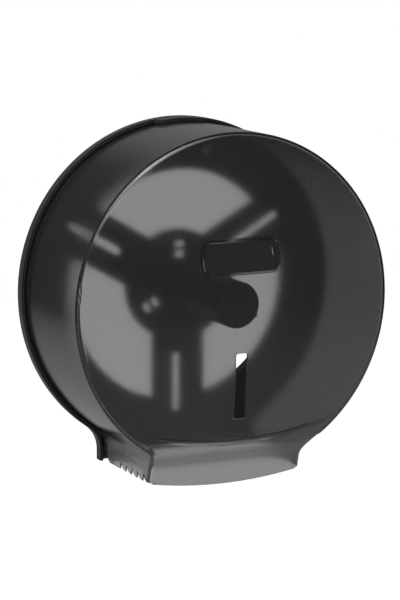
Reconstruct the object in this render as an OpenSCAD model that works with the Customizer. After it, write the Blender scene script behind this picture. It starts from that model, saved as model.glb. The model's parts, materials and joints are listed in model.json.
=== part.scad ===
// Jumbo toilet roll dispenser: a round back plate on the wall, a translucent
// drum cover that hinges down at the bottom and is held by a key latch on top.
// The origin is the spindle's axis on the wall plane. +X right, +Z up; the
// wall lies at y = 0 and the cover stands out along -Y. "Depth" below is the
// distance out from the wall, so a depth d lies at y = -d.

/* [Back plate] */
// Outer radius of the back plate's flange
plate_r = 135; // [128:0.5:145]
// Depth of the flange that the cover nests in
flange_depth = 8; // [6:0.5:11]
// Thickness of the flange
flange_t = 2.5; // [1.5:0.1:3.5]
// Thickness of the plate's floor and walls
plate_t = 2.5; // [1.5:0.1:3]
// Depth of the raised ring, spokes and hub
raised_depth = 9; // [8:0.5:11]
// Gap between the raised ring and the inside of the cover
ring_gap = 3; // [2:0.5:8]
// Width of the raised ring
ring_w = 33; // [32:0.5:40]
// Outer radius of the hub
hub_r = 44.5; // [38:0.5:52]
// Width of a spoke
spoke_w = 42; // [30:0.5:48]
// Radius of the hollow where the flange turns into a leg
flange_hollow = 24; // [20:0.5:28]
// How far the plate's legs reach below its round flange
plate_over = 2.7; // [1:0.1:5]
// Stiffening ribs behind the ring, around the full turn
rib_n = 12; // [6:6:24]
// Thickness of a stiffening rib
rib_t = 1.6; // [1:0.1:2.5]

/* [Wall fixing] */
// Width of a screw slot
slot_w = 6; // [4.5:0.1:7]
// Radius at which a screw slot begins
slot_from = 56; // [52:0.5:65]
// Radius at which a screw slot ends
slot_to = 104; // [90:0.5:110]
// Width of the trough that takes a screw's head
trough_w = 13; // [10:0.5:18]

/* [Spindle] */
// Outer radius of the roll spindle
spindle_r = 18; // [14:0.5:19]
// How far the spindle's end lies behind the crown of the cover
spindle_back = 9; // [8:0.5:22]
// Wall of the spindle tube
spindle_t = 2.5; // [1.5:0.1:4]
// Radial overhang of the collar that the wall traps
collar_out = 2.5; // [1.5:0.1:4]
// Height of the roll-retaining nub on the spindle's front rim
nub_h = 1.3; // [0.5:0.1:2.5]
// Width of the nub
nub_w = 2.6; // [1.5:0.1:5]

/* [Cover] */
// Running gap between the cover and the flange round it
cover_gap = 1; // [0.6:0.1:2]
// Wall thickness of the cover
cover_t = 2.5; // [1.8:0.1:3]
// Depth of the crown of the domed face
cover_depth = 122; // [118:0.5:130]
// Radius of the sphere that the face is part of
dome_r = 811; // [600:1:1200]
// Radius of the rounded edge between face and side
edge_r = 5; // [3.5:0.5:9]
// Half the width across the legs of the paper chute
leg_half = 65.5; // [58:0.5:72]
// Radius of the hollow where the drum turns into a leg
leg_fillet = 20; // [14:0.5:24]
// Depth of the cover's rear rim
rim_depth = 3; // [2.8:0.1:4]

/* [Chin] */
// How far the chin's front lies behind the crown of the face
chin_back = 10; // [8:0.5:13]
// How far above the drum's lowest point the chin starts to curve back
shoulder_up = 30.3; // [26:0.1:33]
// Radius of the chin's rounded shoulder
shoulder_r = 20; // [14:0.5:26]
// Steepest slope of the chin from vertical
chin_slope = 45; // [35:1:55]
// Length of the steepest stretch
chin_run = 11; // [6:0.5:14]
// Radius of the hollow below the steepest stretch
hollow_r = 16; // [10:0.5:26]
// Rounding of the edge between the chin and a leg
side_r = 5; // [3:0.5:6]
// Slope of the chin's lip from vertical
lip_slope = 14; // [8:1:32]
// How far the chin reaches below the drum's lowest point
chin_over = 12.7; // [9:0.1:16]
// Radius of the arc that the lip's edge follows
lip_arc_r = 334; // [250:1:600]
// Radius of the smile-shaped brow line above the chin
brow_r = 277; // [220:1:400]
// Height of the brow line's middle above the drum's lowest point
brow_up = 22.8; // [20:0.1:25]
// Slope of the brow's bevel from the face
brow_slope = 51; // [40:1:65]
// How far the brow's foot lies behind the chin's front
brow_step = 1.5; // [0.5:0.1:2.5]

/* [Tear teeth] */
// Teeth on the bottom edge of each leg
tooth_n = 5; // [3:1:6]
// Distance from one tooth to the next
tooth_pitch = 10.7; // [8:0.1:11]
// Height of a tooth
tooth_h = 5.5; // [3:0.1:6]
// Thickness of the leg's wall at the teeth
tooth_t = 1.1; // [0.6:0.1:2]
// Depth of the first tooth's tip
tooth_from = 39; // [34:0.5:44]
// How far the cover's legs end above those of the back plate
leg_lift = 0.4; // [0:0.1:2]
// Radius of the rounded corner at a leg's lower back
leg_corner = 6.5; // [3:0.5:8]

/* [Sight slot] */
// Width of the slot that shows how much paper is left
sight_w = 10; // [6:0.5:14]
// Top of the slot, below the axis
sight_top = 36; // [24:0.5:45]
// Length of the slot
sight_len = 51.7; // [40:0.1:58]
// Corner radius of the slot
sight_r = 1.6; // [0.5:0.1:2.5]

/* [Badge] */
// Width of the blank badge
badge_w = 63.5; // [50:0.5:76]
// Height of the badge
badge_h = 23; // [16:0.5:28]
// Height of the badge's middle above the axis
badge_up = 38; // [34:0.5:60]
// Corner radius of the badge
badge_corner = 6.5; // [4:0.5:8]
// Thickness of the badge at its edge
badge_t = 1.8; // [1.2:0.1:2.2]
// Gap round the badge in its recess
badge_gap = 0.4; // [0.2:0.1:0.8]
// How far the badge stands out of the face
badge_proud = 0.4; // [0:0.1:0.8]

/* [Hinge] */
// Depth of the hinge axis
hinge_depth = 9.5; // [9.2:0.1:10.5]
// Height of the hinge axis above the lowest point of the plate's legs
hinge_up = 6.5; // [5.1:0.1:7.3]
// Radius of a hinge knuckle
knuckle_r = 4; // [3.4:0.1:4.1]
// Radius of a hinge pin
pin_r = 2; // [1.2:0.1:2.4]
// Radial clearance of a pin in the cover's knuckle
pin_clear = 0.08; // [0.04:0.01:0.1]
// Width of the back plate's knuckle
ear_w = 5.3; // [4:0.1:7]
// Width of the cover's knuckle
knuckle_w = 7.6; // [5:0.1:9]

/* [Latch] */
// Half the width of the tab over the cover's top edge
tab_half = 21; // [20:0.5:26]
// Depth that the tab reaches to
tab_depth = 17.5; // [14:0.5:20]
// Travel of the latch when the key is pushed in
latch_travel = 4; // [3:0.1:4.2]
// How far the latch's nose stands behind the catch
latch_bite = 3.5; // [2.5:0.1:3.6]
// Half the width of the latch's slider
slider_half = 16; // [14:0.5:17]
// Half the width of the latch's nose
nose_half = 7.5; // [5:0.5:8]
// Thickness of the slider and of the catch
latch_t = 3; // [2:0.1:3.2]
// Length of the key slot
key_len = 10; // [6:0.5:11]
// Width of the key slot
key_w = 3; // [1.5:0.1:3.2]
// Wire radius of the latch spring
wire_r = 0.35; // [0.2:0.05:0.5]
// Coil radius of the latch spring
coil_r = 2.3; // [1.9:0.1:2.5]
// Turns of the latch spring
coil_n = 4; // [3:1:6]
// Radius of a screw head on the latch's guide
head_r = 2.8; // [2:0.1:3.2]

/* [Hidden] */
$fn = 96;

// colours
BLACK = [0.07, 0.07, 0.07];
SMOKE = [0.30, 0.30, 0.31, 0.55];
STEEL = [0.72, 0.72, 0.74];

// clearances: a sliding gap between moving pieces, and a push fit
slide_gap = 0.4;
push_fit = 0.02;
blend = 0.02;     // lets a hollow cut into the drum that it would only touch
cut = 1;          // how far a cutting shape runs past a face
far = 400;        // larger than any piece

// spokes, seen from the front, and the radii of the small openings in the hub
SPOKES = [30, 150, 270];
HUB_ROWS = [25, 33];
hub_opening = [5, 8];

// small features of the back plate
pocket_wall = 1.6;    // side walls of the latch's pocket
tab_corner = 5;       // rounding of the tab's front corners
tab_step = 0.3;       // the tab's top lies this far below the flange's
key_from = 5;         // the key slot's near end, left of the middle
key_depth = 1.2;      // the key slot's rear side
seat_wall = 3.2;      // radius of the bosses for the guide's screws
weld = 1;             // how far ribs and bosses reach into a wall

// the spindle ends behind the cover, and its small features
spindle_depth = cover_depth - spindle_back;
spindle_round = 1;    // rounding of its front rim
snap_h = 0.6;         // bumps that hold it in front of the hub
snap_t = 1.6;
snap_half = 3;
nub_len = 6;

// screws of the latch's guide
screw_r = 1.2;
screw_head = 1.8;
screw_play = 0.3;
recess_w = 0.7;       // arms of the cross recess
guide_t = 2.2;        // thickness of the guide
guide_over = 3.5;     // how far the guide reaches above the latch's shelf
guide_corner = 3;

// the cover nests in the flange, and the ring stands inside the cover
drum_r = plate_r - flange_t - cover_gap;
drum_in = drum_r - cover_t;
flange_half = leg_half + cover_gap + flange_t;
ring_r = drum_in - ring_gap;
window_r = ring_r - ring_w;
plate_drop = plate_r + plate_over;
hinge_drop = plate_drop - hinge_up;
leg_drop = plate_drop - leg_lift;
rear_gap = 0.3;                                  // air between knuckle and leg
rear_edge = hinge_depth + knuckle_r + rear_gap;  // the cover's edge behind the hinge

// chin and brow
chin_depth = cover_depth - chin_back;
chin_top = drum_r - shoulder_up;
chin_drop = drum_r + chin_over;
brow_drop = drum_r - brow_up;
brow_over = 0.4;      // how far the brow's cut starts in front of the chin
trim = 5;             // length that is trimmed off below the chin
taper = 12;           // height over which a leg's wall thins towards the teeth

// depth of the centre of the face's sphere, and of the rounded edge's arc
ball_at = cover_depth - dome_r;
edge_at = ball_at + sqrt(pow(dome_r - edge_r, 2) - pow(drum_r - edge_r, 2));

// reach of the badge's outer corner, depth of its back, and its hooks
badge_far = sqrt(pow(badge_w / 2, 2) + pow(badge_up + badge_h / 2, 2));
badge_back = ball_at + sqrt(pow(dome_r, 2) - pow(badge_far, 2)) - badge_t;
HOOKS = [-badge_w / 4, badge_w / 4];
hook_w = 6;
hook_t = 2;
hook_play = 0.3;
hook_bite = 1.2;
hook_out = 3;                             // how far the hooks reach past the pad
badge_seat = 0.2;                         // air under the badge
pad_rim = 2;                              // the pad's border round the recess
pad_t = 2.4;                              // wall behind the recess
pad_back = badge_back - pad_t;
hook_end = pad_back - hook_out;
pry_slot = [2.2, 7];                      // slot by which the badge is prised out
pry_in = 5.6;                             // its middle, in from the badge's end
pry_up = 3;                               // and above the badge's middle
pry_lean = -11;

// hinge knuckles along X
ear_gap = 0.2;                // air between the ear and the leg's line
ear_out = leg_half - ear_gap;
ear_in = ear_out - ear_w;
knuckle_out = ear_in - slide_gap;
knuckle_in = knuckle_out - knuckle_w;
web_t = 2.8;                  // web that closes the gap behind the cover's leg
web_up = 12.6;
web_gap = 1.9;
web_front = rear_edge - web_gap;
hinge_room = 0.6;             // air between that web and the leg
arm_run = 8;                  // length of the knuckle's arm along the leg
arm_depth = rear_edge + arm_run;

// latch: the slider lies on the floor, the catch hangs in front of it, the nose
// stands in front of the catch
floor_gap = 0.3;
slider_back = plate_t + floor_gap;
slider_front = slider_back + latch_t;
catch_gap = 1.2;
catch_back = slider_front + catch_gap;
catch_front = catch_back + latch_t;
nose_t = 4;
nose_gap = 4;         // below the inside of the cover
nose_lead = 5;        // height of the nose's sloping front
nose_blunt = 0.6;
nose_back = catch_front + slide_gap;
nose_front = nose_back + nose_t;
nose_top = drum_in - nose_gap;
catch_low = nose_top - latch_bite;
shelf_gap = 2;        // between the pushed latch's shelf and the catch
shelf_top = catch_low - latch_travel - shelf_gap;
shelf_low = shelf_top - latch_t;
foot_h = 7.5;         // height of the slider's thick foot
slider_low = shelf_low - foot_h;
key_gap = 2;          // between the slider's top and the flange
slider_top = drum_in - key_gap;
pocket_half = slider_half + slide_gap;
pocket_low = window_r + plate_t;
peg_h = 3.4;          // peg that the spring sits on
guide_front = raised_depth + guide_t;
guide_half = pocket_half + 3.4 * head_r;
guide_low = pocket_low + slide_gap;
guide_top = shelf_top + guide_over;
guide_notch = shelf_low - latch_travel - slide_gap;
spring_depth = (slider_back + raised_depth) / 2;
spring_gap = 0.1;     // at either end of the spring
screw_up = (guide_low + guide_top) / 2;
screw_x = pocket_half + 1.7 * head_r + rear_gap;
notch_gap = 2;
notch_half = slider_half + notch_gap;
gusset_t = 1.8;       // gussets beside the catch
gusset_run = 6;
gusset_in = nose_half + slide_gap + catch_gap;

// places a shape drawn in X and Z, and extruded from one depth to another
module out_from(depth_from, depth_to) {
    translate([0, -depth_from, 0])
        rotate([90, 0, 0])
            linear_extrude(height = depth_to - depth_from)
                children();
}

// turns a profile, drawn as radius and depth, about the spindle's axis
module turned() {
    rotate([90, 0, 0])
        rotate_extrude($fn = 180)
            children();
}

// extrudes a profile, drawn as depth and height, along X
module along_x(from, to) {
    translate([from, 0, 0])
        rotate([0, 0, -90])
            rotate([90, 0, 0])
                mirror([0, 0, 1])
                    linear_extrude(height = to - from)
                        children();
}

// a box from corner to corner, in X, depth and Z
module block(x, d, z) {
    translate([x[0], -d[1], z[0]])
        cube([x[1] - x[0], d[1] - d[0], z[1] - z[0]]);
}

// the left and the right of a pair
module both_sides() {
    children();
    mirror([1, 0, 0]) children();
}

// a round bar along X
module bar_x(r, from, to, depth, up) {
    translate([from, -depth, up])
        rotate([0, 90, 0])
            cylinder(r = r, h = to - from);
}

// a square with rounded corners, about the origin
module rounded(w, h, r) {
    square([w - 2 * r, h], center = true);
    square([w, h - 2 * r], center = true);
    for (x = [-1, 1], y = [-1, 1])
        translate([x * (w / 2 - r), y * (h / 2 - r)]) circle(r = r);
}

// the upright legs that a circle of radius r turns into, through a hollow
module legs(r, half, fillet, drop) {
    hollow_x = half + fillet;
    hollow_z = -sqrt(pow(r + fillet, 2) - pow(hollow_x, 2));
    touch = [hollow_x, hollow_z] * r / (r + fillet);
    difference() {
        union() {
            translate([-half, -drop]) square([2 * half, drop]);
            for (side = [-1, 1])
                polygon([[0, touch[1]], [side * touch[0], touch[1]],
                         [side * hollow_x, hollow_z], [0, hollow_z]]);
        }
        for (side = [-1, 1])
            translate([side * hollow_x, hollow_z]) circle(r = fillet);
    }
}

// outline of drum and chute together
module outline(r, half, fillet, drop) {
    circle(r = r, $fn = 180);
    legs(r, half, fillet, drop);
}

// ---------------------------------------------------------------- back plate

// ring, spokes and hub, drawn smaller all round by "inset"
module raised_outline(inset) {
    difference() {
        circle(r = ring_r - inset, $fn = 180);
        circle(r = window_r + inset, $fn = 180);
    }
    circle(r = hub_r - inset);
    for (angle = SPOKES)
        rotate(angle)
            translate([0, inset - spoke_w / 2])
                square([window_r + plate_t + inset, spoke_w - 2 * inset]);
}

// the slot in a spoke, "grow" wider and longer
module spoke_slot(width) {
    translate([slot_from + slot_w / 2, -width / 2])
        square([slot_to - slot_from - slot_w, width]);
    for (r = [slot_from + slot_w / 2, slot_to - slot_w / 2])
        translate([r, 0]) circle(r = width / 2);
}

// pairs of small openings round the spindle's seat
module hub_openings() {
    for (angle = SPOKES, r = HUB_ROWS)
        rotate(angle + 60)
            translate([r, 0]) square(hub_opening, center = true);
}

module raised_form() {
    difference() {
        out_from(0, raised_depth) raised_outline(0);
        out_from(-cut, raised_depth - plate_t) raised_outline(plate_t);
    }
    // ribs that stiffen the channel behind the ring
    for (i = [0:rib_n - 1])
        if (min([for (a = SPOKES) abs((360 * i / rib_n - a + 540) % 360 - 180)]) > 20
            && abs(360 * i / rib_n - 90) > 20)
            rotate([0, -360 * i / rib_n, 0])
                block([window_r + weld, ring_r - weld], [0, raised_depth - weld],
                      [-rib_t / 2, rib_t / 2]);
    // troughs that bring the screw slots down to the wall
    for (angle = SPOKES)
        rotate([0, -angle, 0])
            out_from(0, raised_depth) spoke_slot(trough_w + 2 * plate_t);
}

// bosses behind the ring for the screws of the latch's guide
module guide_bosses() {
    both_sides()
        translate([screw_x, 0, screw_up])
            rotate([90, 0, 0]) cylinder(r = seat_wall, h = raised_depth - weld);
}

// the tab that covers the latch's notch in the cover
module tab() {
    difference() {
        turned()
            translate([drum_r + slide_gap, 0])
                square([plate_r - tab_step - drum_r - slide_gap, tab_depth]);
        difference() {
            block([-far, far], [-cut, far], [-far, far]);
            out_from(0, tab_depth) translate([-tab_half, 0]) square([2 * tab_half, plate_r]);
        }
        both_sides()
            difference() {
                block([tab_half - tab_corner, far], [tab_depth - tab_corner, far], [0, far]);
                translate([tab_half - tab_corner, tab_corner - tab_depth, 0])
                    cylinder(r = tab_corner, h = far);
            }
    }
}

// one hinge ear: a knuckle on the floor, and the web above it that closes the
// gap behind the cover's leg
module hinge_ear() {
    block([ear_in, ear_out], [0, hinge_depth], [-hinge_drop - knuckle_r, -hinge_drop + knuckle_r]);
    bar_x(knuckle_r, ear_in, ear_out, hinge_depth, -hinge_drop);
    block([ear_out - web_t, ear_out], [0, web_front], [-hinge_drop, -hinge_drop + web_up]);
}

module back_plate() {
    color(BLACK)
    difference() {
        union() {
            difference() {
                out_from(0, flange_depth)
                    outline(plate_r, flange_half, flange_hollow, plate_drop);
                out_from(plate_t, far)
                    outline(plate_r - flange_t, flange_half - flange_t,
                            flange_hollow + flange_t, far);
                out_from(-cut, far) circle(r = ring_r - plate_t, $fn = 180);
            }
            difference() {
                raised_form();
                // pocket for the latch, open at the top
                block([-pocket_half, pocket_half], [plate_t, far], [pocket_low, far]);
            }
            // floor and side walls of the pocket
            intersection() {
                out_from(0, raised_depth) circle(r = ring_r, $fn = 180);
                union() {
                    block([-pocket_half, pocket_half], [0, plate_t], [window_r, far]);
                    both_sides()
                        block([pocket_half, pocket_half + pocket_wall], [0, raised_depth],
                              [window_r + weld, far]);
                }
            }
            guide_bosses();
            tab();
            both_sides() hinge_ear();
        }
        for (angle = SPOKES)
            rotate([0, -angle, 0]) {
                out_from(-cut, far) spoke_slot(slot_w);
                out_from(plate_t, far) spoke_slot(trough_w);
            }
        out_from(-cut, far) hub_openings();
        // seat of the spindle
        out_from(-cut, far) circle(r = spindle_r + push_fit);
        // key slot through the flange and tab
        block([-key_from - key_len, -key_from], [key_depth, key_depth + key_w], [ring_r, far]);
        // screw holes of the latch's guide
        both_sides()
            translate([screw_x, -raised_depth - cut, screw_up])
                rotate([-90, 0, 0]) cylinder(r = screw_r + push_fit, h = raised_depth);
        // bores of the hinge pins
        both_sides()
            bar_x(pin_r + push_fit, ear_in - cut, ear_out + cut, hinge_depth, -hinge_drop);
    }
}

// ------------------------------------------------------------------- spindle

module spindle() {
    rim_r = spindle_r - spindle_round;
    rim_depth = spindle_depth - spindle_round;
    color(BLACK) {
        turned()
            difference() {
                union() {
                    square([spindle_r, rim_depth]);
                    square([rim_r, spindle_depth]);
                    translate([rim_r, rim_depth]) circle(r = spindle_round);
                    square([spindle_r + collar_out, raised_depth - plate_t - push_fit]);
                }
                translate([0, -cut])
                    square([spindle_r - spindle_t, spindle_depth - spindle_t + cut]);
            }
        // nub on the front rim that keeps a roll from walking off
        rotate([0, 30, 0])
            block([spindle_r - weld, spindle_r + nub_h], [rim_depth - nub_len, rim_depth],
                  [-nub_w / 2, nub_w / 2]);
        // bumps that snap in front of the hub
        for (angle = SPOKES)
            rotate([0, -angle - 60, 0])
                intersection() {
                    block([spindle_r - weld, spindle_r + snap_h],
                          [raised_depth + push_fit, raised_depth + snap_t],
                          [-snap_half, snap_half]);
                    turned() square([spindle_r + snap_h, far]);
                }
    }
}

// ---------------------------------------------------------------- hinge pins

module hinge_pin() {
    from = knuckle_in + slide_gap;
    long = ear_out - slide_gap - from;
    chamfer = pin_r / 5;
    color(STEEL)
        translate([from, -hinge_depth, -hinge_drop])
            rotate([90, 0, 90])
                rotate_extrude()
                    polygon([[0, 0], [pin_r - chamfer, 0], [pin_r, chamfer],
                             [pin_r, long - chamfer], [pin_r - chamfer, long], [0, long]]);
}

module hinge_pin_left() {
    mirror([1, 0, 0]) hinge_pin();
}

module hinge_pin_right() {
    hinge_pin();
}

// --------------------------------------------------------------------- latch

module latch_guide() {
    color(BLACK)
    difference() {
        out_from(raised_depth, guide_front)
            translate([0, (guide_low + guide_top) / 2])
                rounded(2 * guide_half, guide_top - guide_low, guide_corner);
        block([-nose_half - slide_gap, nose_half + slide_gap], [0, far], [guide_notch, far]);
        both_sides()
            translate([screw_x, 0, screw_up])
                rotate([90, 0, 0]) cylinder(r = screw_r + screw_play, h = far);
    }
}

module latch_guide_screws() {
    color(STEEL)
        both_sides()
            translate([screw_x, 0, screw_up])
                difference() {
                    union() {
                        translate([0, -guide_front, 0])
                            rotate([-90, 0, 0]) cylinder(r = screw_r, h = guide_front - plate_t);
                        translate([0, -guide_front, 0])
                            rotate([90, 0, 0]) cylinder(r = head_r, h = screw_head);
                    }
                    // cross recess
                    for (turn = [0, 90])
                        rotate([0, turn, 0])
                            block([-head_r / 2, head_r / 2], [guide_front + recess_w, far],
                                  [-recess_w / 2, recess_w / 2]);
                }
}

module latch() {
    color(BLACK) {
        // slider on the floor of the pocket
        block([-slider_half, slider_half], [slider_back, slider_front], [slider_low, slider_top]);
        // thick foot that the guide holds down
        block([-slider_half, slider_half], [slider_back, raised_depth - floor_gap],
              [slider_low, shelf_low]);
        // shelf and nose
        block([-nose_half, nose_half], [slider_back, nose_front], [shelf_low, shelf_top]);
        along_x(-nose_half, nose_half)
            polygon([[nose_back, shelf_low], [nose_back, nose_top],
                     [nose_back + nose_blunt, nose_top], [nose_front, nose_top - nose_lead],
                     [nose_front, shelf_low]]);
        // peg inside the spring
        translate([0, -spring_depth, slider_low - peg_h])
            cylinder(r = coil_r - wire_r - slide_gap, h = peg_h + weld);
    }
}

// points of a ring of the wire, square to its helix
function wire_ring(turn, rise, low, sides) =
    let (angle = 360 * turn)
    [for (i = [0:sides - 1])
        let (a = 360 * i / sides, r = coil_r + wire_r * cos(a))
        [r * cos(angle), r * sin(angle), low + rise * turn + wire_r * sin(a)]];

module latch_spring() {
    sides = 8;
    per_turn = 16;
    low = pocket_low + wire_r + spring_gap;
    rise = (slider_low - pocket_low - 2 * (wire_r + spring_gap)) / coil_n;
    rings = coil_n * per_turn;
    points = [for (k = [0:rings]) each wire_ring(k / per_turn, rise, low, sides)];
    walls = [for (k = [0:rings - 1], i = [0:sides - 1])
        [k * sides + i, (k + 1) * sides + i,
         (k + 1) * sides + (i + 1) % sides, k * sides + (i + 1) % sides]];
    ends = [[for (i = [0:sides - 1]) i],
            [for (i = [sides - 1:-1:0]) rings * sides + i]];
    color(STEEL)
        translate([0, -spring_depth, 0])
            polyhedron(points = points, faces = concat(walls, ends), convexity = 8);
}

// --------------------------------------------------------------------- cover

// profile of the drum, moved in by "inset", from a rear depth
module drum_profile(inset, rear) {
    r = drum_r - inset;
    ball = dome_r - inset;
    edge = edge_r - inset;
    touch = [r - edge, edge_at - ball_at] * ball / (ball - edge);
    intersection() {
        translate([0, ball_at]) circle(r = ball, $fn = 1080);
        translate([0, rear]) square([touch[0], cover_depth - rear]);
    }
    translate([0, rear]) square([r, edge_at - rear]);
    translate([0, rear]) square([r - edge, edge_at - rear + edge / 2]);
    polygon([[0, edge_at], [r - edge, edge_at], [touch[0], ball_at + touch[1]],
             [0, ball_at + touch[1]]]);
    translate([r - edge, edge_at]) circle(r = edge);
}

// the chin's front as points of depth and height, moved in by "inset"
function chin_line(inset) =
    let (a = shoulder_r - inset, b = hollow_r + inset, n = 12,
         start = [chin_depth - shoulder_r, -chin_top],
         knee = start + shoulder_r * [cos(chin_slope), -sin(chin_slope)]
                - chin_run * [sin(chin_slope), cos(chin_slope)],
         centre = knee + hollow_r * [cos(chin_slope), -sin(chin_slope)],
         lip = centre - b * [cos(lip_slope), -sin(lip_slope)],
         rest = far / 4)
    concat([[chin_depth - inset, 0]],
           [for (i = [0:n]) start + a * [cos(chin_slope * i / n), -sin(chin_slope * i / n)]],
           [for (i = [0:n])
               let (t = chin_slope + (lip_slope - chin_slope) * i / n)
               centre - b * [cos(t), -sin(t)]],
           [lip - rest * [sin(lip_slope), cos(lip_slope)]]);

// everything in front of the chin
module before_chin(inset) {
    line = chin_line(inset);
    last = line[len(line) - 1];
    along_x(-far, far)
        polygon(concat(line, [[last[0], last[1]], [far, last[1]], [far, 0]]));
}

// what the chin takes away, beyond a radius about the smile's centre
module chin_cut(inset) {
    rim = brow_r - inset * sin(brow_slope);
    intersection() {
        translate([0, 0, brow_r - brow_drop])
            turned() translate([rim, 0]) square([far, far]);
        before_chin(inset);
    }
}

// the bevel along the brow: all that lies outside a cone, in front of the chin
module brow_cut(inset) {
    foot_depth = chin_depth - brow_step - inset * cos(brow_slope);
    foot_r = brow_r - inset * sin(brow_slope);
    rise = 20;
    lean = 1 / tan(brow_slope);
    difference() {
        block([-far, far], [chin_depth + brow_over - inset, foot_depth + rise], [-far, 0]);
        translate([0, cut - foot_depth, brow_r - brow_drop])
            rotate([90, 0, 0])
                cylinder(r1 = foot_r + cut * lean, r2 = foot_r - (rise + cut) * lean,
                         h = rise + 2 * cut, $fn = 360);
    }
}

// the chin's depth at a height
function chin_at(z, inset) = lookup(z, [for (p = chin_line(inset)) [p[1], p[0]]]);

// stations along the chute's right front edge, down the hollow and then the leg:
// a place in X and Z, the direction into the wall, and how far the hollow has turned
function side_stations(inset) =
    let (fillet = leg_fillet + inset,
         x = leg_half - inset + fillet,
         z = -sqrt(pow(drum_r - inset - blend + fillet, 2) - x * x),
         from = atan2(-z, -x),
         low = -chin_drop - trim - cut,
         n = 8)
    concat([for (i = [0:n])
               let (a = from + (180 - from) * i / n, into = [cos(a), sin(a)])
               [[x, z] + fillet * into, into, i / n]],
           [for (i = [1:2 * n]) [[leg_half - inset, z + (low - z) * i / (2 * n)], [-1, 0], 1]]);

// the waste beyond the rounded edge at one station, in the plane across the edge
function side_ring(station, inset) =
    let (at = station[0],
         into = station[1],
         r = side_r * (0.9 + 0.1 * station[2]) - inset,
         tilt = into[0] * (chin_at(at[1] + cut, inset) - chin_at(at[1] - cut, inset)) / (2 * cut),
         deep = r * sqrt(1 + tilt * tilt),
         n = 6,
         line = [for (i = [0:n])
                    let (a = 90 * i / n, u = r * (1 - cos(a)))
                    [u, chin_at(at[1] + u * into[1], inset) - deep * (1 - sin(a))]],
         first = line[0] + 0.3 * (line[0] - line[1]),
         last = line[n] + 0.3 * (line[n] - line[n - 1]))
    [for (p = concat([first], [for (i = [1:n - 1]) line[i]], [last], [[last[0], last[1] + cut]],
                     [[-cut, last[1] + cut]], [[-cut, first[1]]]))
        [at[0] + p[0] * into[0], -p[1], at[1] + p[0] * into[1]]];

// rounds the chute's right front edge
module side_cut(inset) {
    stations = side_stations(inset);
    rings = [for (s = stations) side_ring(s, inset)];
    sides = len(rings[0]);
    last = len(rings) - 1;
    polyhedron(
        points = [for (ring = rings) each ring],
        faces = concat(
            [for (k = [0:last - 1], i = [0:sides - 1])
                let (a = k * sides + i, b = k * sides + (i + 1) % sides)
                each [[a, b, a + sides], [b, b + sides, a + sides]]],
            [for (i = [1:sides - 2])
                let (c = sides - 2, a = (c + i) % sides, b = (c + i + 1) % sides)
                each [[c, b, a], last * sides * [1, 1, 1] + [c, a, b]]]),
        convexity = 6);
}

module cover_form(inset, rear, drop) {
    difference() {
        difference() {
            union() {
                turned() drum_profile(inset, rear);
                out_from(rear, chin_depth)
                    legs(drum_r - inset - blend, leg_half - inset, leg_fillet + inset, drop);
            }
            chin_cut(inset);
        }
        brow_cut(inset);
        both_sides() side_cut(inset);
    }
}

// one tooth's gap: a steep front and a hollow back, as depth and height
module tooth_gap() {
    n = 8;
    lean = tooth_pitch / 18;
    run = tooth_pitch - 1.5 * lean;
    hollow = 2.2;
    polygon(concat([[-lean, -cut]],
                   [for (i = [0:n]) [lean + run * i / n, tooth_h * pow(1 - i / n, hollow)]],
                   [[lean + run, -cut]]));
}

// shapes the bottom edges: an arc under the chin, teeth under the legs
module bottom_cut() {
    out_from(-cut, far)
        difference() {
            translate([-far, -far]) square([2 * far, far - leg_drop + cover_t]);
            translate([0, lip_arc_r - chin_drop]) circle(r = lip_arc_r, $fn = 360);
            translate([-far, -leg_drop]) square([2 * far, far]);
        }
    both_sides()
        for (i = [0:tooth_n - 1])
            along_x(leg_half - side_r - cut, far)
                translate([tooth_from + i * tooth_pitch, -leg_drop]) tooth_gap();
    // the legs end level, behind the chin, with a thin edge at the teeth and a
    // round corner at the back
    both_sides() {
        out_from(arm_depth + cut, tooth_from + (tooth_n - 1) * tooth_pitch)
            polygon([[leg_half - cover_t - cut, -leg_drop - cut],
                     [leg_half - tooth_t, -leg_drop - cut],
                     [leg_half - tooth_t, tooth_h - leg_drop],
                     [leg_half - cover_t, taper - leg_drop],
                     [leg_half - cover_t - cut, taper - leg_drop]]);
        block([leg_half - cover_t - cut, far], [-cut, tooth_from + (tooth_n - 0.2) * tooth_pitch],
              [-far, -leg_drop]);
        along_x(leg_half - cover_t - cut, far)
            translate([rear_edge, -leg_drop])
                difference() {
                    translate([-cut, -cut]) square(leg_corner + cut);
                    translate([leg_corner, leg_corner]) circle(r = leg_corner);
                }
    }
}

// the catch that the latch's nose holds, with a gusset on either side
module catch() {
    intersection() {
        union() {
            block([-gusset_in - gusset_t, gusset_in + gusset_t], [catch_back, catch_front],
                  [catch_low, far]);
            both_sides()
                block([gusset_in, gusset_in + gusset_t], [catch_back, catch_front + gusset_run],
                      [catch_low + weld, far]);
        }
        turned() square([drum_r - cover_t / 2, far]);
    }
}

// knuckle, arm and web of the cover's hinge
module cover_knuckle() {
    high = -hinge_drop + knuckle_r;
    low = -hinge_drop - knuckle_r;
    bar_x(knuckle_r, knuckle_in, knuckle_out, hinge_depth, -hinge_drop);
    block([knuckle_in, knuckle_out], [hinge_depth, arm_depth], [low, high]);
    block([knuckle_in, leg_half - cover_t / 2], [rear_edge + slide_gap, arm_depth], [low, high]);
}

// the badge's outline, with ends that bow outwards
module badge_outline(grow) {
    intersection() {
        rounded(badge_w + 2 * grow, badge_h + 2 * grow, badge_corner + grow);
        circle(r = badge_w / 2 + grow);
    }
}

// the dome's front from its crown out to a radius, as points of radius and depth
function cap_line(reach, proud) =
    [for (i = [0:24])
        let (x = reach * i / 24)
        [x, ball_at + sqrt(pow(dome_r + proud, 2) - x * x)]];

// all that lies behind the dome, round its crown, "proud" of it
module under_cap(proud) {
    reach = badge_far + 2 * (badge_gap + pad_rim);
    turned() polygon(concat([[0, 0]], cap_line(reach, proud), [[reach, 0]]));
}

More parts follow.
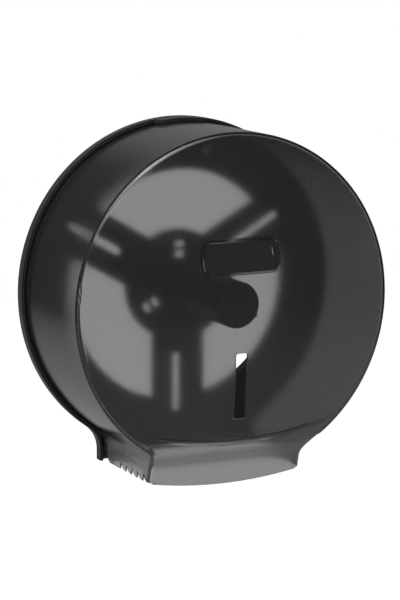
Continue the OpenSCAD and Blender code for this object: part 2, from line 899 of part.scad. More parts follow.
module cover() {
    color(SMOKE)
    difference() {
        union() {
            difference() {
                cover_form(0, rim_depth, chin_drop + trim);
                cover_form(cover_t, -cut, far);
            }
            // pad behind the badge's recess
            intersection() {
                out_from(pad_back, cover_depth)
                    translate([0, badge_up]) badge_outline(badge_gap + pad_rim);
                under_cap(-cover_t / 4);
            }
            catch();
            both_sides() cover_knuckle();
        }
        bottom_cut();
        // sight slot
        out_from(cover_depth / 2, far)
            translate([0, -sight_top - sight_len / 2]) rounded(sight_w, sight_len, sight_r);
        // recess of the badge, and the holes for its hooks
        out_from(badge_back - badge_seat, far)
            translate([0, badge_up]) badge_outline(badge_gap);
        out_from(cover_depth / 2, far)
            for (x = HOOKS)
                translate([x, badge_up])
                    square([hook_w + 2 * hook_play, hook_t + 2 * hook_play], center = true);
        // clearance round the back plate's hinge ears
        both_sides()
            block([leg_half - cover_t - cut, far], [-cut, rear_edge],
                  [-far, -hinge_drop + web_up + hinge_room]);
        // notch under the tab
        block([-notch_half, notch_half], [-cut, catch_back], [catch_low - cut, far]);
        // running bores of the hinge
        both_sides()
            bar_x(pin_r + pin_clear, knuckle_in - cut, knuckle_out + cut,
                  hinge_depth, -hinge_drop);
    }
}

// --------------------------------------------------------------------- badge

module badge() {
    color(BLACK) {
        difference() {
            intersection() {
                out_from(badge_back, cover_depth + 2)
                    translate([0, badge_up]) badge_outline(0);
                under_cap(badge_proud);
            }
            // slot by which the badge is prised out
            translate([badge_w / 2 - pry_in, 0, badge_up + pry_up])
                rotate([0, pry_lean, 0])
                    out_from(0, far) square(pry_slot, center = true);
        }
        // hooks through the face
        for (x = HOOKS)
            along_x(x - hook_w / 2, x + hook_w / 2)
                translate([0, badge_up])
                    polygon([[badge_back + badge_t / 4, hook_t / 2],
                             [badge_back + badge_t / 4, -hook_t / 2],
                             [hook_end, -hook_t / 2], [hook_end, hook_t / 2],
                             [pad_back - hook_play, hook_t / 2 + hook_bite],
                             [pad_back - hook_play, hook_t / 2]]);
    }
}

back_plate();
spindle();
hinge_pin_left();
hinge_pin_right();
latch_guide();
latch_guide_screws();
latch();
latch_spring();
cover();
badge();
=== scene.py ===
import json
import math
import bmesh
import bpy
import numpy as np
from mathutils import Matrix, Vector


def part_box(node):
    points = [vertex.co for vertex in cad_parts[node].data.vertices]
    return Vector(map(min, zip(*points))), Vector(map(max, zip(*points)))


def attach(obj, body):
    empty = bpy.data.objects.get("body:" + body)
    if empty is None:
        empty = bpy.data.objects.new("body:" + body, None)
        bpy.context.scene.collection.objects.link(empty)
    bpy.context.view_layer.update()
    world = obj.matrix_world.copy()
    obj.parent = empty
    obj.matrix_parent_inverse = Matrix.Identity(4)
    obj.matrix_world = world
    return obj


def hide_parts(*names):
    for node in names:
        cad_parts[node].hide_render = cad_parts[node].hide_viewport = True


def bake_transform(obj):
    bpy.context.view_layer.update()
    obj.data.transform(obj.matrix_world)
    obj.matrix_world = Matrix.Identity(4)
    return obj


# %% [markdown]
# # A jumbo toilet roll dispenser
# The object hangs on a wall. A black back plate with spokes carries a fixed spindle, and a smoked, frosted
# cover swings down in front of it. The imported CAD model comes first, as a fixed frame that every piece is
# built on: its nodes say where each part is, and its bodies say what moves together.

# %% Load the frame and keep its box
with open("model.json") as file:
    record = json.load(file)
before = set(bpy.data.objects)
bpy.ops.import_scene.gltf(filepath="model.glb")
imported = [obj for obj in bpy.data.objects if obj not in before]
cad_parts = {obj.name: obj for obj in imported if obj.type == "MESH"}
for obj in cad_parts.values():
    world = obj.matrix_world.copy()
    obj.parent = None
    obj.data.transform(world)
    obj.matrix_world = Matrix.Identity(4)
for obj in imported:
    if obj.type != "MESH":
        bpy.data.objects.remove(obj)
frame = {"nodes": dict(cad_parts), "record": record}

scene = bpy.context.scene
scene.view_settings.view_transform = "Standard"
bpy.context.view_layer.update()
MM = 0.001
BODY_OF = {node: body for body, nodes in frame["record"]["behaviour"]["bodies"].items() for node in nodes}

# %% [markdown]
# ## Camera
# A long lens, far away, keeps the round face round. The camera stands to the left and a little above, and a
# small shift frames the object without turning the lens.

# %% Camera
camera_data = bpy.data.cameras.new("camera")
camera_data.lens = 137.7
camera_data.sensor_width = 36
camera_data.shift_x = 0.0421
camera_data.shift_y = -0.0283
camera = bpy.data.objects.new("camera", camera_data)
camera.location = (-0.7693, -1.6479, 0.3026)
camera.rotation_euler = (-camera.location).to_track_quat("-Z", "Y").to_euler()
scene.collection.objects.link(camera)
scene.camera = camera
print("camera distance", round(camera.location.length, 3), "m")

# %% [markdown]
# ## Colours and nodes
# Colours are written as hex values, the way a plastic or paint chart gives them, and turned to the linear
# numbers that the renderer works in. One helper adds a node, sets it and links it, in material trees and in
# geometry trees alike. A pattern's scale comes from the real size of its cells.

# %% Helpers for node trees
NOISE_LOW, NOISE_HIGH = 0.3, 0.7        # nearly all values of a noise lie between these


def linear(hex_colour):
    """The linear colour of an sRGB hex value."""
    parts = [int(hex_colour[i:i + 2], 16) / 255 for i in (1, 3, 5)]
    return [p / 12.92 if p <= 0.04045 else ((p + 0.055) / 1.055) ** 2.4 for p in parts] + [1.0]


def add(tree, kind, settings=None, **inputs):
    """Adds a node; an input is a value or another node's socket, found by name or, as _0, by its place."""
    node = tree.nodes.new(kind)
    for name, value in (settings or {}).items():
        setattr(node, name, value)
    for name, value in inputs.items():
        key = int(name[1:]) if name[0] == "_" and name[1:].isdigit() else name.replace("_", " ")
        socket = node.inputs[key]
        if isinstance(value, bpy.types.NodeSocket):
            tree.links.new(value, socket)
        else:
            socket.default_value = value
    return node


def cells(size_mm):
    """Scale of a noise whose cells measure this many millimetres."""
    return 1 / (size_mm * MM)


def new_material(name, **settings):
    material = bpy.data.materials.new(name)
    material.use_nodes = True
    tree = material.node_tree
    tree.nodes.clear()
    shader = add(tree, "ShaderNodeBsdfPrincipled", **settings)
    add(tree, "ShaderNodeOutputMaterial", Surface=shader.outputs["BSDF"])
    return material, tree, shader


print("#808080 is", round(linear("#808080")[0], 3), "in linear light")

# %% [markdown]
# ## Light
# The object hangs in a white studio. The world and the floor are plain white where the camera sees them, also
# through the smoked cover, and dimmer where they light the object, so that nothing is washed out. Reflections
# see a room of their own: on dark glossy plastic an all-white room would lie as a grey veil.

# %% The world
LOOK = (0.42, 0.89, -0.16)      # the way the camera looks, towards the backdrop
WINDOW = (-0.34, -0.38, 0.86)   # towards a wide bright window, which only reflections see
# an edge is given as cosines of the angle to that direction, and a level as a strength, where 1 is white
BACKDROP_EDGE, BACKDROP_LEVELS = (0.72, 0.84), (0.02, 0.20)
WINDOW_EDGE, WINDOW_LEVELS = (0.74, 0.93), (0.0, 3.5)
FILL_LEVEL = 0.45               # how strongly the room lights the object


def any_ray(tree, path, *kinds):
    """A socket that is 1 for a ray of one of these kinds, and 0 for the others."""
    found = path.outputs[kinds[0]]
    for kind in kinds[1:]:
        either = add(tree, "ShaderNodeMath", {"operation": "MAXIMUM"}, _0=found, _1=path.outputs[kind])
        found = either.outputs[0]
    return found


world = bpy.data.worlds.new("studio")
scene.world = world
world.use_nodes = True
tree = world.node_tree
tree.nodes.clear()
path = add(tree, "ShaderNodeLightPath")
clear = any_ray(tree, path, "Is Camera Ray", "Is Transmission Ray")
seen = any_ray(tree, path, "Is Camera Ray", "Is Transmission Ray", "Is Glossy Ray")
# a reflection sees the backdrop as a middle grey, the rest of the room almost dark, and the window, which
# draws the broad soft streak that rounded plastic edges carry
coords = add(tree, "ShaderNodeTexCoord")
patches = []
for aim, edge, levels in ((LOOK, BACKDROP_EDGE, BACKDROP_LEVELS), (WINDOW, WINDOW_EDGE, WINDOW_LEVELS)):
    facing = add(tree, "ShaderNodeVectorMath", {"operation": "DOT_PRODUCT"},
                 _0=coords.outputs["Generated"], _1=aim)
    patch = add(tree, "ShaderNodeMapRange", {"interpolation_type": "SMOOTHSTEP"},
                _0=facing.outputs["Value"], _1=edge[0], _2=edge[1], _3=levels[0], _4=levels[1])
    patches.append(patch.outputs[0])
room = add(tree, "ShaderNodeMath", {"operation": "ADD"}, _0=patches[0], _1=patches[1])
level = add(tree, "ShaderNodeMix", {"data_type": "FLOAT"}, _0=clear, _2=room.outputs[0], _3=1.0)
soft = add(tree, "ShaderNodeBackground", Color=linear("#ffffff"), Strength=FILL_LEVEL)
white = add(tree, "ShaderNodeBackground", Color=linear("#ffffff"), Strength=level.outputs[0])
mixed = add(tree, "ShaderNodeMixShader", _0=seen, _1=soft.outputs[0], _2=white.outputs[0])
add(tree, "ShaderNodeOutputWorld", Surface=mixed.outputs[0])
print("world with a backdrop and a window,", len(tree.nodes), "nodes")

# %% Two soft lamps
def lamp(name, place, size, watts):
    """A rectangular softbox that faces the object."""
    data = bpy.data.lights.new(name, "AREA")
    data.shape = "RECTANGLE"
    data.size, data.size_y = size
    data.energy = watts
    thing = bpy.data.objects.new(name, data)
    thing.location = place
    thing.rotation_euler = Vector(place).to_track_quat("Z", "Y").to_euler()
    thing.visible_transmission = False      # a view through the cover shows the plain backdrop, not a lamp
    scene.collection.objects.link(thing)
    return thing


lamp("softbox_top", place=(-0.5, -0.6, 1.5), size=(0.6, 0.6), watts=8)
left_softbox = lamp("softbox_left", place=(-1.6, -0.6, 0.5), size=(0.4, 1.2), watts=4.5)
left_softbox.visible_glossy = False     # it only lifts the dark side; the window already draws the streaks
print("lamps", [light.name for light in bpy.data.lights])

# %% [markdown]
# The floor lies well below the object, like a roll of paper in a studio. Where it is looked at, it glows as
# white as the backdrop, so that no edge shows between the two, and it can still take the object's shadow.

# %% Floor
FLOOR_Z = -0.75
FLOOR_HALF = 4
FLOOR_GLOW = 0.62                       # added to the light that falls on it, where the camera sees it
NEAR, FAR = 1.7, 4.4                    # metres from the object, between which its reflection fades
NEAR_LEVEL, FAR_LEVEL = 0.30, 0.03
floor_mesh = bpy.data.meshes.new("floor")
floor_mesh.from_pydata([(x * FLOOR_HALF, y * FLOOR_HALF, FLOOR_Z)
                        for x, y in ((-1, -1), (1, -1), (1, 1), (-1, 1))], [], [(0, 1, 2, 3)])
floor = bpy.data.objects.new("floor", floor_mesh)
scene.collection.objects.link(floor)
paper, tree, shader = new_material("backdrop_paper", Base_Color=linear("#f4f4f4"), Roughness=0.9)
path = add(tree, "ShaderNodeLightPath")
seen = any_ray(tree, path, "Is Camera Ray", "Is Transmission Ray", "Is Glossy Ray")
glow = add(tree, "ShaderNodeEmission", Color=linear("#ffffff"), Strength=FLOOR_GLOW)
shown = add(tree, "ShaderNodeAddShader", _0=shader.outputs[0], _1=glow.outputs[0])
# in a reflection the floor fades with distance, so no horizon shows on the side of the drum
spot = add(tree, "ShaderNodeTexCoord").outputs["Object"]
reach = add(tree, "ShaderNodeVectorMath", {"operation": "LENGTH"}, _0=spot)
fade = add(tree, "ShaderNodeMapRange", {"interpolation_type": "SMOOTHSTEP"}, Value=reach.outputs["Value"],
           _1=NEAR, _2=FAR, _3=NEAR_LEVEL, _4=FAR_LEVEL)
mirrored = add(tree, "ShaderNodeEmission", Color=linear("#ffffff"), Strength=fade.outputs[0])
through = add(tree, "ShaderNodeEmission", Color=linear("#ffffff"), Strength=1.0)
for kind, look in (("Is Glossy Ray", mirrored), ("Is Transmission Ray", through)):
    shown = add(tree, "ShaderNodeMixShader", _0=path.outputs[kind], _1=shown.outputs[0], _2=look.outputs[0])
shown = add(tree, "ShaderNodeMixShader", _0=seen, _1=shader.outputs[0], _2=shown.outputs[0])
tree.links.new(shown.outputs[0], tree.nodes["Material Output"].inputs[0])
floor_mesh.materials.append(paper)
print("floor at", FLOOR_Z, "m")

# %% [markdown]
# ## Plastics and metal
# Each finish starts from what the part is made of and how its surface was made.
#
# The back plate and the latch's guide are injection-moulded ABS in black. The tool's cavity is spark-eroded,
# which leaves a fine matt grain, so highlights on it are broad and soft. The spindle comes out of a finer
# tool, so it is satin and the paper's core slips on it. The latch is acetal, which slides without oil and is
# glossier still. One function makes all of them, since only the colour and the grain differ.

# %% Black plastics
FLOW_MM = 35            # width of the paler patches
GRAIN_SWING = 0.06      # how far the grain takes the roughness up and down


def black_plastic(name, base, lighter, rough, grain_mm, depth_mm, bloom=0.0):
    # matt plastic looks paler where it is seen almost edge-on, and sheen draws that bloom
    material, tree, shader = new_material(name, Base_Color=linear(base), Roughness=rough,
                                          Sheen_Weight=bloom, Sheen_Roughness=0.5)
    place = add(tree, "ShaderNodeTexCoord").outputs["Object"]
    # melt that cools slowly in thick places comes out a little paler, in patches a few centimetres wide
    flow = add(tree, "ShaderNodeTexNoise", Vector=place, Scale=cells(FLOW_MM), Detail=2.0)
    tint = add(tree, "ShaderNodeMix", {"data_type": "RGBA"}, _0=flow.outputs["Fac"], _6=linear(base),
               _7=linear(lighter))
    tree.links.new(tint.outputs[2], shader.inputs["Base Color"])
    # the eroded grain itself is about a tenth of a millimetre; it is drawn coarser, or it would not show
    grain = add(tree, "ShaderNodeTexNoise", Vector=place, Scale=cells(grain_mm), Detail=3.0)
    uneven = add(tree, "ShaderNodeMapRange", Value=grain.outputs["Fac"], _1=NOISE_LOW, _2=NOISE_HIGH,
                 _3=rough - GRAIN_SWING, _4=rough + GRAIN_SWING)
    tree.links.new(uneven.outputs["Result"], shader.inputs["Roughness"])
    bump = add(tree, "ShaderNodeBump", Strength=0.35, Distance=depth_mm * MM, Height=grain.outputs["Fac"])
    tree.links.new(bump.outputs["Normal"], shader.inputs["Normal"])
    print(name, "grain", grain_mm, "mm")
    return material


abs_eroded = black_plastic("abs_black_spark_eroded", "#212122", "#29292a", rough=0.46, grain_mm=0.9,
                           depth_mm=0.05, bloom=0.12)
abs_satin = black_plastic("abs_black_satin", "#1f1f20", "#262627", rough=0.36, grain_mm=0.6, depth_mm=0.02)
acetal = black_plastic("acetal_black_machined_gloss", "#18181a", "#1f1f21", rough=0.28, grain_mm=1.4,
                       depth_mm=0.01)

# %% [markdown]
# The cover is smoked polystyrene. Its outside is polished and its inside is lightly frosted, which blurs what
# lies far behind it and leaves near things sharp. A rough transmission does the same. About half of the smoke
# is the colour that light takes on at each surface, and the rest is taken up in the wall's thickness.

# %% Smoked polystyrene, frosted
# the second smoke is paler: painted light on the chute's mouth, where light comes in through its open bottom
SMOKE, SMOKE_PAINTED_LIGHT = "#bcbcbc", "#c4c4c4"
CLEARNESS = 0.974                       # how much of the plastic acts as glass; the rest is milky
FROST_LOW, FROST_HIGH = 0.160, 0.185    # roughness where the frost is finer and coarser
FROST_MM, WAVE_MM = 22, 14
MOUTH_Z, DRUM_Z = -0.122, -0.106        # the chute's mouth takes its full change at the first height
MOUTH_ROUGH, MOUTH_HAZE = 0.12, 0.05  # what the chute's mouth adds to the roughness and takes from the clearness
SMOKE_DENSITY = 244.0                   # per metre of plastic
# polystyrene has an IOR of 1.59; a lower one weakens the reflections and the frost's blur to what a thin
# moulded wall shows
smoked, tree, shader = new_material("polystyrene_smoked_frosted", Base_Color=linear(SMOKE),
                                    Roughness=0.17, IOR=1.35, Specular_IOR_Level=0.25,
                                    Transmission_Weight=CLEARNESS, Coat_Weight=0.7, Coat_Roughness=0.18)
place = add(tree, "ShaderNodeTexCoord").outputs["Object"]
# the frost is a little uneven, in patches of about two centimetres
frost = add(tree, "ShaderNodeTexNoise", Vector=place, Scale=cells(FROST_MM), Detail=2.0)
patchy = add(tree, "ShaderNodeMapRange", Value=frost.outputs["Fac"], _1=NOISE_LOW, _2=NOISE_HIGH,
             _3=FROST_LOW, _4=FROST_HIGH).outputs["Result"]
# the mouth of the chute is duller, hazier and a little paler than the drum; the paler tint is painted light,
# for the light that comes in through the open bottom, and the dullness blurs the back plate's edge behind it
height = add(tree, "ShaderNodeSeparateXYZ", Vector=place).outputs["Z"]
chute_mouth = add(tree, "ShaderNodeMapRange", {"interpolation_type": "SMOOTHSTEP"}, Value=height,
             _1=MOUTH_Z, _2=DRUM_Z, _3=1.0, _4=0.0).outputs["Result"]
dull = add(tree, "ShaderNodeMath", {"operation": "MULTIPLY_ADD"}, _0=chute_mouth, _1=MOUTH_ROUGH, _2=patchy)
tree.links.new(dull.outputs[0], shader.inputs["Roughness"])
passed = add(tree, "ShaderNodeMath", {"operation": "MULTIPLY_ADD"}, _0=chute_mouth, _1=-MOUTH_HAZE,
             _2=CLEARNESS)
tree.links.new(passed.outputs[0], shader.inputs["Transmission Weight"])
tint = add(tree, "ShaderNodeMix", {"data_type": "RGBA"}, _0=chute_mouth, _6=linear(SMOKE),
           _7=linear(SMOKE_PAINTED_LIGHT))
tree.links.new(tint.outputs[2], shader.inputs["Base Color"])
# shallow waves that a large moulding keeps as it shrinks
waves = add(tree, "ShaderNodeTexNoise", Vector=place, Scale=cells(WAVE_MM), Detail=1.0)
bump = add(tree, "ShaderNodeBump", Strength=0.2, Distance=0.05 * MM, Height=waves.outputs["Fac"])
tree.links.new(bump.outputs["Normal"], shader.inputs["Normal"])
tree.links.new(bump.outputs["Normal"], shader.inputs["Coat Normal"])
smoke = add(tree, "ShaderNodeVolumeAbsorption", Color=linear("#000000"), Density=SMOKE_DENSITY)
tree.links.new(smoke.outputs[0], tree.nodes["Material Output"].inputs["Volume"])
print("a millimetre of the cover's plastic passes", round(math.exp(-SMOKE_DENSITY * MM), 2))

# %% [markdown]
# The pins and screws are steel with a bright zinc coat, and the spring is drawn spring wire. Both are metals,
# so their colour is in the reflection, and they keep the default IOR.

# %% Zinc-plated steel and spring wire
STAIN_MM = 1.5          # width of the darker spots
STREAK_SWING = 0.08     # how far the streaks take the roughness up and down


def plated(name, base, stained, rough, streak_mm):
    material, tree, shader = new_material(name, Base_Color=linear(base), Metallic=1.0, Roughness=rough)
    place = add(tree, "ShaderNodeTexCoord").outputs["Object"]
    spots = add(tree, "ShaderNodeTexNoise", Vector=place, Scale=cells(STAIN_MM), Detail=3.0)
    tint = add(tree, "ShaderNodeMix", {"data_type": "RGBA"}, _0=spots.outputs["Fac"], _6=linear(base),
               _7=linear(stained))
    tree.links.new(tint.outputs[2], shader.inputs["Base Color"])
    streaks = add(tree, "ShaderNodeTexNoise", Vector=place, Scale=cells(streak_mm), Detail=4.0)
    uneven = add(tree, "ShaderNodeMapRange", Value=streaks.outputs["Fac"], _1=NOISE_LOW, _2=NOISE_HIGH,
                 _3=rough - STREAK_SWING, _4=rough + STREAK_SWING)
    tree.links.new(uneven.outputs["Result"], shader.inputs["Roughness"])
    print(name, "streaks", streak_mm, "mm")
    return material


zinc = plated("steel_zinc_plated", "#c3c4c2", "#a9aaa6", rough=0.32, streak_mm=0.4)
wire = plated("spring_steel_drawn_wire", "#a8a8aa", "#8d8d90", rough=0.26, streak_mm=0.3)

# %% [markdown]
# ## From CAD solid to moulding
# A CAD node arrives as loose flat triangles with knife-sharp edges. A real moulding has small radii that
# catch the light, and its curved faces are smooth. So a copy is merged and its sharp edges are bevelled. The
# bevel may not overlap itself, and that narrows it over the whole piece to the room at the tightest spot:
# the pins keep theirs, the guide and the latch a part of it, and the others next to nothing. Each corner's
# normal is then the mean of the faces round it that lean alike, weighted by their area, so that flat faces
# stay flat.
#
# On the cover's large curves even that leaves faint facets in a reflection. The dome, the drum, the rounded
# rim, the chin and the brow are parts of spheres, cylinders, rings and cones, so their corners get the exact
# normals of those surfaces. Each surface is a function that tells how far off it a point lies, and which way
# it faces there.

# %% Dome and drum
NEVER_ZERO = 1e-9       # keeps a length that is divided by from being zero
OFF = 1                 # metres; the distance given for a point that lies beside a surface's own stretch
SLACK = 0.01            # radians by which a stretch reaches past its ends


def sphere(depth, radius):
    """Distance from a sphere centred on the drum's axis, and its normals."""
    def measure(points):
        away = points - np.array([0, -depth, 0])
        reach = np.linalg.norm(away, axis=1)
        return reach - radius, away / reach[:, None]
    return measure


def drum(radius):
    """Distance from a cylinder round the drum's axis, and its normals."""
    def measure(points):
        away = points * np.array([1, 0, 1])
        reach = np.linalg.norm(away, axis=1) + NEVER_ZERO
        return reach - radius, away / reach[:, None]
    return measure


DOME_R = 0.811
DOME_AT = -0.689                  # depth of the dome's centre, behind the wall
DRUM_R = 0.1315
WALL = 0.0025
COVER_SURFACES = [sphere(DOME_AT, DOME_R), sphere(DOME_AT, DOME_R - WALL), drum(DRUM_R), drum(DRUM_R - WALL)]
print("drum", round(2 * DRUM_R / MM), "mm across")
print("dome's top", round((DOME_AT + DOME_R) / MM), "mm from the wall")

# %% Rounded rim between them
def rounded_rim(ring, depth, radius, last):
    """Distance from a tube bent to a ring round the drum's axis, and its normals, up to an angle."""
    def measure(points):
        flat = points * np.array([1, 0, 1])
        reach = np.linalg.norm(flat, axis=1) + NEVER_ZERO
        middle = flat / reach[:, None] * ring + np.array([0, -depth, 0])
        away = points - middle
        size = np.linalg.norm(away, axis=1) + NEVER_ZERO
        angle = np.arctan2(-away[:, 1], reach - ring)
        within = (angle > -SLACK) & (angle < last + SLACK)
        return np.where(within, size - radius, OFF), away / size[:, None]
    return measure


RIM_R = 0.005
RIM_RING = DRUM_R - RIM_R
RIM_AT = DOME_AT + math.sqrt((DOME_R - RIM_R) ** 2 - RIM_RING ** 2)
RIM_END = math.atan2(RIM_AT - DOME_AT, RIM_RING)
COVER_SURFACES += [rounded_rim(RIM_RING, RIM_AT, RIM_R, RIM_END),
                   rounded_rim(RIM_RING, RIM_AT, RIM_R - WALL, RIM_END)]
print("rim at depth", round(RIM_AT / MM, 2), "mm")

# %% Chin: a shoulder, a straight slope of 45 degrees and a hollow, each running along X
def bar(depth, up, radius, side, first, last):
    """Distance from a part of a cylinder along X, and its normals; angles start at the front or the back."""
    def measure(points):
        away = (points - np.array([0, -depth, up])) * np.array([0, 1, 1])
        reach = np.linalg.norm(away, axis=1) + NEVER_ZERO
        angle = np.arctan2(side * away[:, 2], side * away[:, 1])
        within = (angle > first - SLACK) & (angle < last + SLACK)
        return np.where(within, reach - radius, OFF), away / reach[:, None]
    return measure


CHIN_DEPTH, SHOULDER_R, HOLLOW_R = 0.112, 0.020, 0.016
SLOPE, LIP_SLOPE = math.radians(45), math.radians(14)
SHOULDER = (CHIN_DEPTH - SHOULDER_R, -0.1012)       # depth and height of its middle
RUN = 0.011                                         # length of the straight slope
HOLLOW = (SHOULDER[0] + (SHOULDER_R + HOLLOW_R) * math.cos(SLOPE) - RUN * math.sin(SLOPE),
          SHOULDER[1] - (SHOULDER_R + HOLLOW_R) * math.sin(SLOPE) - RUN * math.cos(SLOPE))
for inset in (0, WALL):
    COVER_SURFACES += [bar(*SHOULDER, SHOULDER_R - inset, -1, 0, SLOPE),
                       bar(*HOLLOW, HOLLOW_R + inset, 1, LIP_SLOPE, SLOPE)]
print("hollow's middle", [round(v / MM, 1) for v in HOLLOW], "mm from the wall and the axis")

# %% Brow: a ledge round a line far above the drum, and the bevel in front of it
def funnel(up, depth, radius, lean):
    """Distance from a cone that narrows to the front round a line above the drum's axis, and its normals."""
    def measure(points):
        flat = (points - np.array([0, 0, up])) * np.array([1, 0, 1])
        reach = np.linalg.norm(flat, axis=1) + NEVER_ZERO
        stretch = math.sqrt(1 + lean * lean)
        off = (reach - radius + (-points[:, 1] - depth) * lean) / stretch
        return off, (flat / reach[:, None] + np.array([0, -lean, 0])) / stretch
    return measure


BROW_R, BROW_LOW, BEVEL, BROW_STEP = 0.277, -0.1087, math.radians(51), 0.0015
for inset in (0, WALL):
    ledge = BROW_R - inset * math.sin(BEVEL)
    COVER_SURFACES += [funnel(BROW_R + BROW_LOW, CHIN_DEPTH - BROW_STEP - inset * math.cos(BEVEL), ledge,
                              1 / math.tan(BEVEL)),
                       funnel(BROW_R + BROW_LOW, 0, ledge, 0)]
print("surfaces with exact normals", len(COVER_SURFACES))

# %% Normals
OWN_SHARE = 1e-12       # a corner's own face always counts a little, so that a sliver has a normal too
NO_LENGTH = 1e-30
ALIKE = 0.96            # cosine of 16 degrees: a face that leans more isn't part of the surface


def set_normals(mesh, surfaces, blend=50, reach=0.12 * MM):
    """Each corner blends the faces round it that lean less than "blend" degrees from its own, by their area.
    So flat faces stay flat and the strips of a bevel run into them. A corner within "reach" of a named
    surface then gets that surface's own normal."""
    count = len(mesh.loops)
    corners = np.empty(count, dtype=np.int32)
    mesh.loops.foreach_get("vertex_index", corners)
    places = np.empty(len(mesh.vertices) * 3)
    mesh.vertices.foreach_get("co", places)
    points = places.reshape(-1, 3)[corners]
    flats, areas = np.zeros((count, 3)), np.zeros(count)
    for face in mesh.polygons:
        own = slice(face.loop_start, face.loop_start + face.loop_total)
        flats[own] = face.normal
        areas[own] = face.area
    shared = np.bincount(corners, minlength=len(mesh.vertices))
    first = np.concatenate([[0], np.cumsum(shared)[:-1]])
    order = np.argsort(corners, kind="stable")
    total = flats * OWN_SHARE
    for turn in range(shared.max()):
        live = np.flatnonzero(shared[corners] > turn)
        other = order[first[corners[live]] + turn]
        like = np.sum(flats[live] * flats[other], axis=1) > math.cos(math.radians(blend))
        total[live] += flats[other] * (areas[other] * like)[:, None]
    normals = total / (np.linalg.norm(total, axis=1) + NO_LENGTH)[:, None]
    nearest = np.full(count, reach)
    for surface in surfaces:
        off, wanted = surface(points)
        wanted = wanted * np.sign(np.sum(wanted * flats, axis=1))[:, None]
        held = (np.abs(off) < nearest) & (np.sum(wanted * flats, axis=1) > ALIKE)
        normals[held] = wanted[held]
        nearest[held] = np.abs(off)[held]
    # corners that share a smooth fan would be evened out, so every edge is made free to split
    mesh.edges.foreach_set("use_edge_sharp", [True] * len(mesh.edges))
    mesh.normals_split_custom_set(normals.tolist())
    if surfaces:
        print(mesh.name, "has", int(np.sum(nearest < reach)), "corners with a surface's own normal")

# %% A finished piece
def finish_piece(piece, node_names, bevel_mm=0.0, sharp=38, steps=2, surfaces=(), stretches=None):
    """Bevels, bakes, sets the normals and hands the piece to its body; a piece given stretches is only baked
    where it stands.
    """
    if bevel_mm:
        bevel = piece.modifiers.new("rounded edges", "BEVEL")
        bevel.width = bevel_mm * MM
        bevel.segments = steps
        bevel.limit_method = "ANGLE"
        bevel.angle_limit = math.radians(sharp)
        bevel.use_clamp_overlap = True      # narrows it everywhere to what the tightest spot allows
    bpy.context.view_layer.update()
    baked = bpy.data.meshes.new_from_object(piece.evaluated_get(bpy.context.evaluated_depsgraph_get()))
    piece.modifiers.clear()
    piece.data = baked
    set_normals(baked, surfaces)
    if stretches:
        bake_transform(piece)
    else:
        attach(piece, BODY_OF[node_names[0]])
    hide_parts(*node_names)
    print(piece.name, len(baked.polygons), "faces on", stretches[:2] if stretches else BODY_OF[node_names[0]])
    return piece


# %% A moulding from one CAD node
MERGE_MM = 0.002        # corners nearer than this are one
FLAT_DEG = 0.1          # faces that lean less than this are one


def moulding(node, name, material, **finish):
    """A copy of a CAD node with merged faces, smooth curves, and edges rounded as far as there is room."""
    mesh = frame["nodes"][node].data.copy()
    mesh.name = name
    work = bmesh.new()
    work.from_mesh(mesh)
    bmesh.ops.remove_doubles(work, verts=work.verts, dist=MERGE_MM * MM)
    bmesh.ops.dissolve_limit(work, angle_limit=math.radians(FLAT_DEG), verts=work.verts, edges=work.edges)
    work.to_mesh(mesh)
    work.free()
    mesh.materials.clear()
    mesh.materials.append(material)
    mesh.shade_smooth()
    piece = bpy.data.objects.new(name, mesh)
    scene.collection.objects.link(piece)
    return finish_piece(piece, [node], **finish)


# %% [markdown]
# Cover, back plate, spindle, latch and guide are mouldings whose every rib, slot and tooth is in the CAD
# solids. They could be modelled anew, but a copy keeps each hole where its screw or pin sits.

# %% Cover, back plate, spindle and latch
moulding("cover", "cover_moulding", smoked, bevel_mm=0.3, surfaces=COVER_SURFACES)
moulding("back_plate", "back_plate_moulding", abs_eroded, bevel_mm=0.35)
moulding("spindle", "spindle_moulding", abs_satin, bevel_mm=0.3)
moulding("latch", "latch_moulding", acetal, bevel_mm=0.25)
moulding("latch_guide", "latch_guide_moulding", abs_eroded, bevel_mm=0.25)

# %% [markdown]
# The badge is a bare plate of black ABS from a polished mould, so it mirrors more sharply than the back
# plate. It is clipped into a recess of the dome and carries nothing but the slot by which it is prised out.

# %% Badge
BADGE_PROUD = 0.4 * MM      # how far it stands out of the dome
badge_finish = black_plastic("abs_black_polished", "#2c2c2d", "#353536", rough=0.22, grain_mm=0.7,
                             depth_mm=0.006)
moulding("badge", "badge_plaque", badge_finish, bevel_mm=0.35,
         surfaces=[sphere(DOME_AT, DOME_R + BADGE_PROUD)])

# %% [markdown]
# ## Wire and screws with Geometry Nodes
# A spring is a wire that follows a helix, and the two screws are one shape repeated. A rule describes both,
# so each gets a small geometry tree with named inputs for its sizes. The tree ends in Realize Instances and
# Set Material, and the result is baked to a plain mesh.

# %% Helpers for geometry trees
def geometry_tree(name, sizes):
    """A tree with a number input for each size; gives the tree and its input node."""
    tree = bpy.data.node_groups.new(name, "GeometryNodeTree")
    for label in sizes:
        tree.interface.new_socket(label, in_out="INPUT", socket_type="NodeSocketFloat")
    tree.interface.new_socket("Material", in_out="INPUT", socket_type="NodeSocketMaterial")
    tree.interface.new_socket("Geometry", in_out="OUTPUT", socket_type="NodeSocketGeometry")
    print("tree", name, "with", len(sizes), "sizes")
    return tree, add(tree, "NodeGroupInput")


def close_tree(tree, given, geometry):
    real = add(tree, "GeometryNodeRealizeInstances", Geometry=geometry)
    painted = add(tree, "GeometryNodeSetMaterial", Geometry=real.outputs[0],
                  Material=given.outputs["Material"])
    add(tree, "NodeGroupOutput", Geometry=painted.outputs[0])


